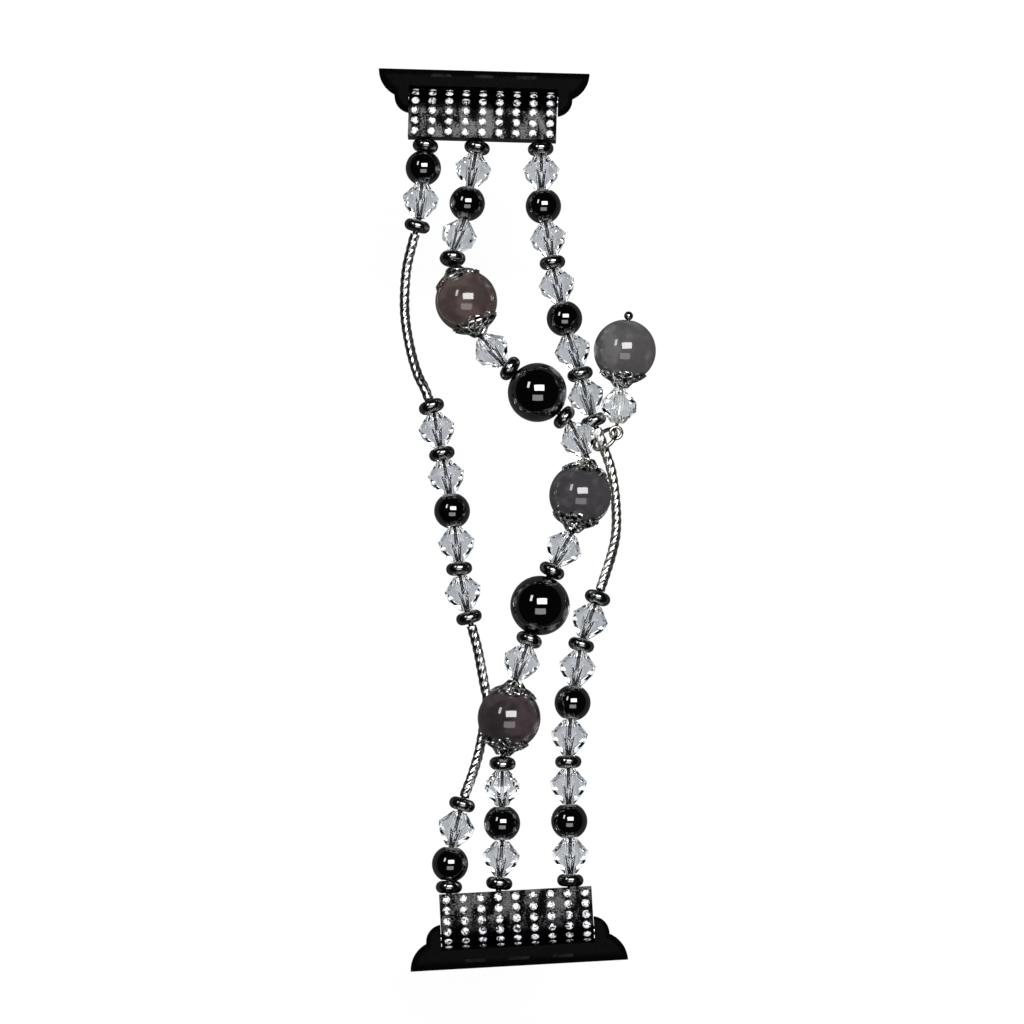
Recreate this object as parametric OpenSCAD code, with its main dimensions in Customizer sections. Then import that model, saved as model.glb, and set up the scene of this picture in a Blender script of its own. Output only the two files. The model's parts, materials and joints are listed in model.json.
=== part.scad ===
// Beaded elastic watch band: three strands of beads on doubled elastic cord run between two
// stone-set end plates. Each end plate turns on a spring bar in a slide-in watch connector,
// and a bead charm hangs from a jump ring round the plain tube of the right strand.
// Millimetres. The band lies face up on z = 0, its length along Y and the cords running along it.

/* [Round beads] */
// Diameter of the small black beads
small_bead_d = 5.9; // [5:0.1:7]
// Length of the small black beads along their hole
small_bead_len = 5.3; // [4.5:0.1:6.5]
// Diameter of the two large black beads
big_bead_d = 9.7; // [8:0.1:11]
// Length of the large black beads along their hole
big_bead_len = 9.5; // [7.5:0.1:10.5]
// Diameter of the agate beads
agate_d = 10.2; // [8.5:0.1:11]
// Length of the agate beads along their hole
agate_len = 10; // [8:0.1:10.8]
// Hole through every bead
bore_d = 1.5; // [1.3:0.05:1.8]

/* [Crystals] */
// Width of the faceted crystals at the girdle
crystal_d = 6; // [5:0.1:7]
// Length of the crystals along their hole
crystal_len = 5.7; // [4.5:0.1:7]
// Width of a crystal's flat end
crystal_end_d = 2.2; // [2:0.1:3]
// Height of the zigzag that the girdle makes
girdle_zig = 1.4; // [0.5:0.1:1.6]

/* [Spacers and caps] */
// Diameter of the rounded metal spacers
spacer_d = 4.3; // [3.6:0.1:5]
// Thickness of the spacers
spacer_len = 2; // [1.5:0.1:2.6]
// Sheet thickness of the filigree bead caps
cap_sheet = 0.35; // [0.25:0.05:0.6]
// Angle from the bead's hole to the rim of a cap
cap_angle = 47; // [35:1:60]
// Petals round a cap
cap_petals = 6; // [5:1:8]
// Diameter of the neck of a cap
cap_neck_d = 2.3; // [2.1:0.1:3]
// Height of the neck of a cap
cap_neck_h = 0.6; // [0.3:0.1:1.2]

/* [Twisted tubes] */
// Outer diameter of the twisted tubes
tube_d = 1.66; // [1.6:0.02:2]
// Depth of the twisted flutes
flute_depth = 0.1; // [0.04:0.01:0.12]
// Inner diameter of the tubes
tube_bore_d = 1.16; // [1.1:0.02:1.3]
// Length of one full twist
twist_lead = 6.8; // [4:0.2:12]

/* [Elastic cord] */
// Diameter of each of the two cords in a strand
cord_d = 0.45; // [0.3:0.05:0.5]
// Diameter of the end knots
knot_d = 1.6; // [1.4:0.1:1.8]
// Diameter of the cord holes in the end plates
cord_hole_d = 1.2; // [1:0.1:1.3]

/* [End plates] */
// Width of the end plates
plate_w = 24.6; // [24:0.1:26]
// From the hinge pin to the strap edge of a plate
plate_reach = 7.1; // [7:0.1:9]
// Height of the flat top of a plate
plate_top_z = 4.7; // [4.5:0.1:5]
// Outer radius of the curved nose of a plate
nose_r = 4.13; // [4:0.01:4.4]
// Sheet thickness of a plate
plate_t = 0.8; // [0.7:0.05:0.9]
// Outer diameter of the eye that turns on the pin
eye_d = 2.8; // [2.6:0.1:2.9]
// Columns of stones
stone_columns = 9; // [7:1:9]
// From the side of a plate to the middle of its outer column of stones
column_edge = 1.1; // [1:0.05:1.4]
// Rows of stones on the flat top
flat_rows = 3; // [2:1:3]
// Rows of stones round the nose
nose_rows = 3; // [2:1:3]
// Distance between rows of stones
row_pitch = 1.75; // [1.7:0.05:1.8]
// Diameter of a stone
stone_d = 1.36; // [1:0.02:1.4]
// Outer diameter of a stone's cup
cup_d = 1.64; // [1.5:0.02:1.66]

/* [Watch connectors] */
// Length of the rail that slides into the watch
rail_len = 35.2; // [34:0.1:36]
// From the hinge pin to the outer edge of the rail
rail_reach = 5; // [4.8:0.05:5.4]
// Thickness of the connector
connector_t = 3; // [2.9:0.1:3.2]
// Radius of the rail's round ends
rail_end_r = 4.8; // [4.6:0.1:5]
// Width over the two ears that hold the pin
ears_w = 29.7; // [29.2:0.1:31]
// From the pin to the rounded strap side of the ears
ear_reach = 2.3; // [2:0.1:3]
// Diameter of the hinge pin
pin_d = 1.5; // [1.3:0.05:1.6]
// Diameter of the thin tips of the pin
pin_tip_d = 0.8; // [0.6:0.05:1]

/* [Charm] */
// Ring radius to the middle of its wire
ring_r = 2.2; // [2.1:0.05:2.4]
// Wire of the jump ring
ring_wire = 0.66; // [0.5:0.02:0.7]
// Radius of the head pin's loop
loop_r = 0.95; // [0.9:0.05:1.1]
// Wire of the head pin
pin_wire = 0.56; // [0.4:0.02:0.6]
// Ball end of the head pin
ball_d = 1.5; // [1.3:0.1:2]

/* [Hidden] */
$fn = 48;

// Small clearances, and the overrun of every cut
over = 0.2;
bead_gap = 0.08;
flex_gap = 0.12;
spin_gap = 0.08;
running_gap = 0.05;
seat_gap = 0.02;
side_gap = 0.15;

// Colours
black = [0.05, 0.05, 0.06];
gunmetal = [0.32, 0.32, 0.34];
bright = [0.62, 0.62, 0.6];
clear = [0.86, 0.9, 0.94, 0.5];
stone_white = [0.93, 0.94, 0.97];
brown_agate = [0.34, 0.28, 0.26];
grey_agate = [0.3, 0.29, 0.3];
dark_agate = [0.2, 0.18, 0.19];
light_agate = [0.42, 0.4, 0.4];
dull_black = [0.16, 0.16, 0.17];

// What each strand is strung with, from the top plate down
left_beads = ["spacer", "black", "crystal", "spacer", "tube", "spacer", "crystal", "spacer",
    "crystal", "black", "crystal", "spacer", "crystal", "spacer", "tube", "spacer",
    "crystal", "black", "spacer"];
middle_beads = ["spacer", "crystal", "black", "crystal", "spacer", "agate", "crystal", "spacer",
    "big", "spacer", "crystal", "agate", "crystal", "spacer", "big", "spacer", "crystal",
    "agate", "spacer", "crystal", "black", "crystal", "spacer"];
right_beads = ["spacer", "crystal", "black", "crystal", "spacer", "crystal", "black", "crystal",
    "spacer", "crystal", "spacer", "tube", "spacer", "crystal", "spacer", "crystal", "black",
    "crystal", "spacer", "crystal", "black", "crystal", "spacer"];
// First bead of each of the five stretches that bend against each other, and the end
left_zones = [0, 3, 6, 13, 16, 19];
middle_zones = [0, 3, 9, 14, 20, 23];
right_zones = [0, 3, 10, 13, 20, 23];

// Heights of the cords: small beads, agates and tubes each rest on the table
low_z = max(small_bead_d, crystal_d) / 2 + seat_gap;
agate_z = agate_d / 2 + bead_gap;
tube_z = tube_d / 2 + bead_gap;

// Routes of the three cords between the plates, chosen by eye: x and y at the beads' nominal
// sizes, then a share of the height, 0 with small beads, 1 with agates and -1 with tubes
left_route = [[-15.1, 58.0, 0], [-15.4, 52.5, 0], [-15.7, 49.1, 0], [-17.0, 44.2, -0.4],
    [-17.8, 40.6, -0.72], [-18.1, 36.0, -0.95], [-17.9, 31.9, -0.93], [-17.0, 27.0, -0.75],
    [-15.8, 22.9, -0.4], [-14.4, 19.9, -0.02], [-12.6, 14.7, 0], [-12.0, 10.7, 0],
    [-11.0, 6.6, 0], [-10.2, 1.4, 0], [-9.3, -4.3, 0], [-8.9, -8.1, 0], [-8.4, -12.5, 0],
    [-7.5, -16.1, 0], [-5.9, -21.7, -0.42], [-5.1, -25.5, -0.72], [-4.4, -29.6, -0.95],
    [-4.3, -32.9, -0.98], [-4.8, -36.1, -0.85], [-5.5, -39.8, -0.55], [-6.6, -43.5, -0.15],
    [-7.7, -46.5, 0], [-8.8, -50.7, 0], [-10.0, -56.1, 0]];
middle_route = [[-6.9, 57.1, 0], [-7.7, 52.0, 0], [-8.6, 46.6, 0.15], [-10.1, 42.8, 0.72],
    [-9.3, 36.5, 1.17], [-5.1, 28.2, 1], [-2.6, 24.9, 1.05], [2.7, 21.0, 1.2],
    [6.7, 16.8, 1.05], [10.3, 13.1, 0.75], [12.7, 4.7, 1.07], [9.0, -5.0, 0.98],
    [6.8, -9.1, 0.92], [4.6, -14.0, 0.9], [3.1, -20.2, 1], [1.5, -24.5, 1.2],
    [-0.8, -33.2, 1.5], [-1.5, -40.4, 1], [-1.6, -44.8, 0.5], [-1.6, -50.2, 0.05],
    [-1.6, -55.5, 0]];
right_route = [[4.6, 57.0, 0], [4.6, 51.7, 0], [5.6, 46.3, 0], [6.2, 42.7, 0], [6.9, 38.4, 0],
    [8.2, 33.2, 0], [9.3, 28.0, 0], [10.6, 24.2, 0], [11.7, 20.1, 0], [12.7, 16.5, 0],
    [14.4, 12.2, -0.26], [15.2, 9.9, -0.52], [16.1, 7.3, -0.77], [16.7, 3.7, -0.95],
    [17.0, -0.1, -0.98], [16.9, -3.4, -0.91], [16.4, -6.1, -0.71], [15.6, -8.9, -0.38],
    [14.0, -13.7, 0], [12.8, -17.3, 0], [11.5, -20.7, 0], [10.7, -24.3, 0], [10.0, -29.8, 0],
    [9.3, -35.5, 0], [9.1, -39.8, 0], [9.2, -43.7, 0], [9.2, -49.4, 0], [9.5, -55.0, 0]];

// Where the two hinge pins lie, and how far each plate is turned, at the beads' nominal sizes
top_pin_route = [-5.2, 69.3];
bottom_pin_route = [1, -68.8];
top_turn = 178.6;
bottom_turn = 3.4;
// Where the strands leave the plates, as shares of the plate's width
top_hole_shares = [0.376, 0.023, -0.393];
bottom_hole_shares = [-0.436, -0.11, 0.362];
// Middle of the whole band on the routes
route_middle = [0.34, -0.05];

// End plate, in its own frame: pin along X through y = 0, strap towards +Y, table at z = 0
pin_z = connector_t / 2;
lip_t = 1;
lip_low_z = 1.9;
cheek_t = 0.7;
row_edge = 0.95;
nose_y = plate_reach - row_edge - (flat_rows - 1) * row_pitch;
nose_z = plate_top_z - nose_r;
row_angle = row_pitch / nose_r * 180 / PI;
cup_rise = 0.15;
seat_depth = 0.15;
girdle_h = 0.25;
crown_h = 0.22;
table_share = 0.55;

// Connector details. Below the pin the notch is round about it, so that the eye turns clear
notch_r = 1.95;
ear_corner_r = 2.8;
ear_edge_r = 0.9;
rail_flat = 0.2;
tip_len = 0.8;
tip_hole = 1;
slot_inset = 1.25;
slot_len = 3.3;
slot_w = 0.55;
slot_side_x = 7.1;
pad_depth = 0.63;
latch_foot = [3.9, 0.8, 0.4];
latch_foot_z = 1.5;
latch_room = [4.1, 0.9];
latch_room_z = [0.8, 1.95];
spring_t = 0.12;
spring_len = 3.4;
spring_w = 0.6;

function total(v, i = 0) = i < len(v) ? v[i] + total(v, i + 1) : 0;
function running_sums(v) =
    [for (i = 0, t = 0; i <= len(v); t = t + (i < len(v) ? v[i] : 0), i = i + 1) t];
function unit(v) = v / norm(v);
function angle_between(a, b) = acos(min(1, unit(a) * unit(b)));
function turned(p, a) = [p[0] * cos(a) - p[1] * sin(a), p[0] * sin(a) + p[1] * cos(a)];

// Size of a bead along its hole, and the radius of its flat end
agate_unit_len = agate_d + 2 * (spin_gap + cap_sheet + cap_neck_h);
function flat_r(d, l) = sqrt(max(0, d * d - l * l)) / 2;
function bead_len(kind, tube_len) =
    kind == "spacer" ? spacer_len :
    kind == "crystal" ? crystal_len :
    kind == "black" ? small_bead_len :
    kind == "big" ? big_bead_len :
    kind == "agate" ? agate_unit_len : tube_len;
function end_r(kind) =
    kind == "spacer" ? (spacer_d - spacer_len) / 2 :
    kind == "crystal" ? crystal_end_d / 2 :
    kind == "black" ? flat_r(small_bead_d, small_bead_len) :
    kind == "big" ? flat_r(big_bead_d, big_bead_len) :
    kind == "agate" ? cap_neck_d / 2 : tube_d / 2;

// Smooth curve through points, and the table of places along it
spline_steps = 6;
function spline_point(p, q, r, s, t) =
    (2 * q + (r - p) * t + (2 * p - 5 * q + 4 * r - s) * t * t
    + (3 * q - p - 3 * r + s) * t * t * t) / 2;
function spline(pts) = [
    for (i = [0:len(pts) - 2], k = [0:spline_steps - 1])
        spline_point(pts[max(i - 1, 0)], pts[i], pts[i + 1], pts[min(i + 2, len(pts) - 1)],
            k / spline_steps),
    pts[len(pts) - 1]];
function places(curve) =
    let (s = running_sums([for (i = [0:len(curve) - 2]) norm(curve[i + 1] - curve[i])]))
    [for (axis = [0:2]) [for (i = [0:len(s) - 1]) [s[i], curve[i][axis]]]];
function reach(tab) = tab[0][len(tab[0]) - 1][0];
function at(tab, s) = [for (axis = [0:2]) lookup(s, tab[axis])];
heading_share = 0.25;
function heading(tab, s) =
    let (step = heading_share * spacer_len) unit(at(tab, s + step) - at(tab, s - step));

// Each strand's cord starts and ends at the strap edges of the plates
function pin_place(p, pull) = (p - route_middle) * pull;
function hole_place(pin, turn, share, pull) =
    let (p = pin_place(pin, pull) + turned([share * plate_w, plate_reach], turn))
    [p[0], p[1], low_z];
function height(share) =
    share < 0 ? low_z + share * (low_z - tube_z) : low_z + share * (agate_z - low_z);
function strand_curve(route, k, pull) = spline(concat(
    [hole_place(top_pin_route, top_turn, top_hole_shares[k], pull)],
    [for (p = route)
        let (q = pin_place([p[0], p[1]], pull)) [q[0], q[1], height(p[2])]],
    [hole_place(bottom_pin_route, bottom_turn, bottom_hole_shares[k], pull)]));

// Gaps between neighbours along a strand: each bend needs room for the smaller flat end
top_heading = [-sin(top_turn), cos(top_turn), 0];
bottom_heading = [sin(bottom_turn), -cos(bottom_turn), 0];
function bend_gaps(beads, zones, p, bows) =
    let (n = len(beads))
    [for (i = [0:n])
        let (before = i == 0 ? top_heading : p[i] - p[i - 1],
            after = i == n ? bottom_heading : p[i + 1] - p[i],
            r0 = end_r(beads[max(i - 1, 0)]),
            r1 = end_r(beads[min(i, n - 1)]),
            bow = (bows[max(i - 1, 0)] + bows[min(i, n - 1)]) / 2,
            flexes = len([for (z = zones) if (z == i) z]) > 0)
        (flexes ? flex_gap : bead_gap) + bow
            + min(r0, r1) * sin(angle_between(before, after))];
function strand_len(beads, gaps, tube_len) =
    total([for (b = beads) bead_len(b, tube_len)]) + total(gaps);
function starts(beads, gaps, tube_len) =
    [for (v = running_sums([for (i = [0:len(beads) - 1])
        bead_len(beads[i], tube_len) + gaps[i + 1]])) v + gaps[0]];
// A straight bead takes more of a curved cord than its own length, by its bow
function bow(tab, s, l) = l - norm(at(tab, s + l / 2) - at(tab, s - l / 2));
// Gaps first from evenly spread beads, then again from where those gaps put them
function bead_gaps(beads, zones, tab, tube_len) =
    let (lengths = [for (b = beads) bead_len(b, tube_len)],
        even = running_sums(lengths) * reach(tab) / total(lengths),
        no_bows = [for (b = beads) 0],
        first = bend_gaps(beads, zones, [for (s = even) at(tab, s)], no_bows),
        placed = starts(beads, first, tube_len),
        bows = [for (i = [0:len(beads) - 1])
            beads[i] == "tube" ? 0 :
            bow(tab, min(placed[i], reach(tab) - lengths[i]) + lengths[i] / 2, lengths[i])])
    bend_gaps(beads, zones, [for (s = placed) at(tab, min(s, reach(tab)))], bows);

// The middle strand has no tube, so its beads set how far apart the plates stand
function slack(pull) =
    let (tab = places(strand_curve(middle_route, 1, pull)))
    reach(tab) - strand_len(middle_beads, bead_gaps(middle_beads, middle_zones, tab, 0), 0);
function solve(a, b, fa, fb, n) =
    n == 0 || fa == fb ? b :
    let (c = b - fb * (b - a) / (fb - fa)) solve(b, c, fb, slack(c), n - 1);
solve_steps = 4;
pull_share = 1.02;
pull = solve(1, pull_share, slack(1), slack(pull_share), solve_steps);

// A strand is [places along its cord, beads, where each bead starts, tube length]
function tube_count(beads) = len([for (b = beads) if (b == "tube") b]);
function strand(route, k, beads, zones) =
    let (tab = places(strand_curve(route, k, pull)),
        tubes = max(1, tube_count(beads)),
        first = (reach(tab) - strand_len(beads, [0], 0)) / tubes,
        gaps = bead_gaps(beads, zones, tab, first),
        tube_len = (reach(tab) - strand_len(beads, gaps, 0)) / tubes)
    [tab, beads, starts(beads, gaps, tube_len), tube_len, gaps];
strands = [strand(left_route, 0, left_beads, left_zones),
    strand(middle_route, 1, middle_beads, middle_zones),
    strand(right_route, 2, right_beads, right_zones)];
zone_starts = [left_zones, middle_zones, right_zones];
left_tubes = [for (i = [0:len(left_beads) - 1]) if (left_beads[i] == "tube") i];
right_tubes = [for (i = [0:len(right_beads) - 1]) if (right_beads[i] == "tube") i];
function bead_ends(st, i) =
    [at(st[0], st[2][i]), at(st[0], st[2][i] + bead_len(st[1][i], st[3]))];

// Draws its children centred between two points, with Z from the first to the second
module along(a, b) {
    v = b - a;
    translate((a + b) / 2)
        rotate([0, acos(v[2] / norm(v)), atan2(v[1], v[0])])
            children();
}

// All beads of one kind in one stretch of the three strands
module strung(kind, zone) {
    for (k = [0:2]) {
        st = strands[k];
        for (i = [zone_starts[k][zone - 1]:zone_starts[k][zone] - 1])
            if (st[1][i] == kind) {
                ends = bead_ends(st, i);
                along(ends[0], ends[1]) children();
            }
    }
}

module round_bead(d, l) {
    rotate_extrude()
        intersection() {
            circle(d = d);
            translate([bore_d / 2, -l / 2]) square([d, l]);
        }
}

module spacer() {
    rotate_extrude()
        difference() {
            union() {
                translate([(spacer_d - spacer_len) / 2, 0]) circle(d = spacer_len);
                translate([0, -spacer_len / 2])
                    square([(spacer_d - spacer_len) / 2, spacer_len]);
            }
            translate([0, -spacer_len]) square([bore_d / 2, 2 * spacer_len]);
        }
}

// Two six-sided ends and a zigzag girdle: flat sides above and below, triangles between
crystal_n = 6;
function ring_points(n, r, z, first) =
    [for (i = [0:n - 1]) [r * cos(first + i * 360 / n), r * sin(first + i * 360 / n), z]];
crystal_points = concat(
    ring_points(crystal_n, crystal_end_d / 2, crystal_len / 2, 0),
    ring_points(crystal_n, crystal_d / 2, girdle_zig / 2, 0),
    ring_points(crystal_n, crystal_d / 2, -girdle_zig / 2, 180 / crystal_n),
    ring_points(crystal_n, crystal_end_d / 2, -crystal_len / 2, 180 / crystal_n));
function ring_index(ring, i) = ring * crystal_n + i % crystal_n;
crystal_faces = concat(
    [[for (i = [1:crystal_n]) crystal_n - i]],
    [for (i = [0:crystal_n - 1])
        [ring_index(0, i), ring_index(0, i + 1), ring_index(1, i + 1), ring_index(1, i)]],
    [for (i = [0:crystal_n - 1])
        [ring_index(1, i), ring_index(1, i + 1), ring_index(2, i)]],
    [for (i = [0:crystal_n - 1])
        [ring_index(2, i), ring_index(1, i + 1), ring_index(2, i + 1)]],
    [for (i = [0:crystal_n - 1])
        [ring_index(2, i), ring_index(2, i + 1), ring_index(3, i + 1), ring_index(3, i)]],
    [[for (i = [0:crystal_n - 1]) ring_index(3, i)]]);
module crystal() {
    difference() {
        polyhedron(crystal_points, crystal_faces);
        cylinder(d = bore_d, h = crystal_len + 2 * over, center = true);
    }
}

// Petal cap over the end of an agate, its neck along +Z and the agate's centre at the origin
cap_in_r = agate_d / 2 + spin_gap;
cap_apex_d = 4.4;
notch_d = 1.9;
petal_hole_d = 1.1;
tip_hole_d = 0.6;
petal_share = 0.6;
tip_share = 0.84;
module cap_section() {
    foot_z = cap_in_r - cap_sheet;
    top_z = cap_in_r + cap_sheet + cap_neck_h;
    difference() {
        union() {
            intersection() {
                circle(r = cap_in_r + cap_sheet);
                polygon([[0, 0], [0, agate_d], [agate_d * tan(cap_angle), agate_d]]);
            }
            polygon([[0, foot_z], [cap_apex_d / 2, foot_z], [cap_neck_d / 2, top_z], [0, top_z]]);
        }
        circle(r = cap_in_r);
        square([bore_d / 2, agate_d]);
    }
}
module bead_cap() {
    difference() {
        rotate_extrude() cap_section();
        for (i = [0:cap_petals - 1])
            rotate([0, 0, i * 360 / cap_petals]) {
                rotate([0, cap_angle, 180 / cap_petals]) cylinder(d = notch_d, h = agate_d);
                rotate([0, cap_angle * petal_share, 0])
                    cylinder(d = petal_hole_d, h = agate_d);
                rotate([0, cap_angle * tip_share, 0]) cylinder(d = tip_hole_d, h = agate_d);
            }
    }
}
module cap_pair() {
    bead_cap();
    mirror([0, 0, 1]) bead_cap();
}

// Closed skin over rings of points. Every ring has the same count
function wall_faces(rings, n, first, flip) = [
    for (i = [0:rings - 2], j = [0:n - 1], half = [0:1])
        let (a = first + i * n + j, b = first + i * n + (j + 1) % n,
            c = a + n, d = b + n, t = half == 0 ? [a, b, d] : [a, d, c])
        flip ? [t[0], t[2], t[1]] : t];
function swept(tab, s, r, a) =
    let (dir = heading(tab, s), side = unit(cross(dir, [0, 0, 1])), up = cross(side, dir))
    at(tab, s) + r * (cos(a) * side + sin(a) * up);

// Tube swept along its strand, with flutes that twist round it
flutes = 5;
tube_sides = 2 * flutes;
ring_step = 0.7;
bore_rings = 9;
module twisted_tube(k, i) {
    st = strands[k];
    s0 = st[2][i];
    rings = ceil(st[3] / ring_step);
    outer = [for (m = [0:rings - 1], j = [0:tube_sides - 1])
        let (s = s0 + st[3] * m / (rings - 1), a = 360 * (j / tube_sides - (s - s0) / twist_lead))
        swept(st[0], s, tube_d / 2 - (j % 2) * flute_depth, a)];
    inner = [for (m = [0:bore_rings - 1], j = [0:tube_sides - 1])
        let (s = s0 + st[3] * m / (bore_rings - 1))
        swept(st[0], s, tube_bore_d / 2, 360 * j / tube_sides)];
    n = tube_sides;
    base = rings * n;
    last = base + (bore_rings - 1) * n;
    shift = n - round(st[3] / twist_lead * n) % n;
    polyhedron(concat(outer, inner), concat(
        wall_faces(rings, n, 0, false),
        wall_faces(bore_rings, n, base, true),
        [for (j = [0:n - 1]) [j, base + j, (j + 1) % n]],
        [for (j = [0:n - 1]) [(j + 1) % n, base + j, base + (j + 1) % n]],
        [for (j = [0:n - 1])
            [base - n + j, base - n + (j + 1) % n, last + (j + shift) % n]],
        [for (j = [0:n - 1])
            [base - n + (j + 1) % n, last + (j + 1 + shift) % n, last + (j + shift) % n]]));
}

// Doubled cord of a strand: two lines side by side through every bead, knotted in the plates
cord_sides = 8;
tube_points = 8;
anchor = lip_t + knot_d / 2 + bead_gap;
function cord_path(st) =
    let (n = len(st[1]), tab = st[0], g = st[4],
        first = at(tab, 0) - anchor * top_heading,
        last = at(tab, reach(tab)) + anchor * bottom_heading)
    concat([first, at(tab, 0)],
        [for (i = [0:n - 1]) each concat(
            [at(tab, st[2][i] - g[i] / 2)],
            st[1][i] == "tube"
                ? [for (m = [1:tube_points - 1])
                    at(tab, st[2][i] + st[3] * m / tube_points)]
                : [])],
        [at(tab, reach(tab)), last]);
module cord_line(path, offset_side) {
    n = len(path);
    pts = [for (i = [0:n - 1], j = [0:cord_sides - 1])
        let (dir = unit(path[min(i + 1, n - 1)] - path[max(i - 1, 0)]),
            side = unit(cross(dir, [0, 0, 1])), up = cross(side, dir),
            a = 360 * j / cord_sides)
        path[i] + offset_side * side + cord_d / 2 * (cos(a) * side + sin(a) * up)];
    polyhedron(pts, concat(
        wall_faces(n, cord_sides, 0, false),
        [[for (j = [0:cord_sides - 1]) cord_sides - 1 - j]],
        [[for (j = [0:cord_sides - 1]) (n - 1) * cord_sides + j]]));
}
module elastic(k) {
    path = cord_path(strands[k]);
    color(black) {
        for (side = [-1, 1]) cord_line(path, side * (cord_d + seat_gap) / 2);
        for (p = [path[0], path[len(path) - 1]]) translate(p) sphere(d = knot_d);
    }
}

// Places a plate or a connector at its hinge pin
module at_top() {
    p = pin_place(top_pin_route, pull);
    translate([p[0], p[1], 0]) rotate([0, 0, top_turn]) children();
}
module at_bottom() {
    p = pin_place(bottom_pin_route, pull);
    translate([p[0], p[1], 0]) rotate([0, 0, bottom_turn]) children();
}

// Cross-section of the cast plate: eye round the pin, curved nose, flat top and strap lip
module plate_section() {
    translate([0, pin_z]) circle(d = eye_d);
    intersection() {
        difference() {
            translate([nose_y, nose_z]) circle(r = nose_r);
            translate([nose_y, nose_z]) circle(r = nose_r - plate_t);
        }
        translate([nose_y - nose_r, pin_z]) square([nose_r, nose_r]);
    }
    translate([nose_y, plate_top_z - plate_t]) square([plate_reach - nose_y, plate_t]);
    translate([plate_reach - lip_t, lip_low_z]) square([lip_t, plate_top_z - lip_low_z]);
}
module cheek_section() {
    intersection() {
        union() {
            translate([nose_y, nose_z]) circle(r = nose_r);
            translate([nose_y, 0]) square([plate_reach - nose_y, plate_top_z]);
        }
        polygon([[0, pin_z - eye_d / 2], [plate_reach, lip_low_z],
            [plate_reach, plate_top_z], [nose_y - nose_r, plate_top_z],
            [nose_y - nose_r, pin_z], [0, pin_z]]);
    }
}
module lengthwise(w) {
    rotate([90, 0, 90]) linear_extrude(height = w, center = true) children();
}

// Places its children on every stone seat, with Z out of the plate
module at_stones() {
    for (c = [0:stone_columns - 1]) {
        x = (c / (stone_columns - 1) - 1 / 2) * (plate_w - 2 * column_edge);
        for (r = [0:flat_rows - 1])
            translate([x, plate_reach - row_edge - r * row_pitch, plate_top_z]) children();
        for (r = [1:nose_rows])
            translate([x, nose_y, nose_z])
                rotate([r * row_angle, 0, 0]) translate([0, 0, nose_r]) children();
    }
}

module end_plate(hole_shares) {
    color(gunmetal)
        difference() {
            union() {
                lengthwise(plate_w) plate_section();
                for (side = [-1, 1])
                    translate([side * (plate_w - cheek_t) / 2, 0, 0])
                        lengthwise(cheek_t) cheek_section();
                at_stones()
                    translate([0, 0, -plate_t / 2])
                        cylinder(d = cup_d, h = plate_t / 2 + cup_rise);
            }
            translate([0, 0, pin_z]) rotate([0, 90, 0])
                cylinder(d = pin_d + 2 * running_gap, h = plate_w + 2 * over, center = true);
            for (share = hole_shares)
                translate([share * plate_w, plate_reach + over, low_z])
                    rotate([90, 0, 0]) cylinder(d = cord_hole_d, h = lip_t + 2 * over);
            at_stones()
                translate([0, 0, -seat_depth])
                    cylinder(d = stone_d + 2 * seat_gap, h = seat_depth + cup_rise + over);
        }
}

module stones() {
    color(stone_white)
        at_stones()
            translate([0, 0, -seat_depth]) {
                cylinder(d = stone_d, h = girdle_h);
                translate([0, 0, girdle_h])
                    cylinder(d1 = stone_d, d2 = stone_d * table_share, h = crown_h);
            }
}

// Outline of a slab seen in section, rounded at its far edge
module edge_section(l, r) {
    square([l - r, connector_t]);
    translate([l - r, r]) circle(r = r);
    translate([l - r, connector_t - r]) circle(r = r);
    translate([l - r, r]) square([r, connector_t - 2 * r]);
}

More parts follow.
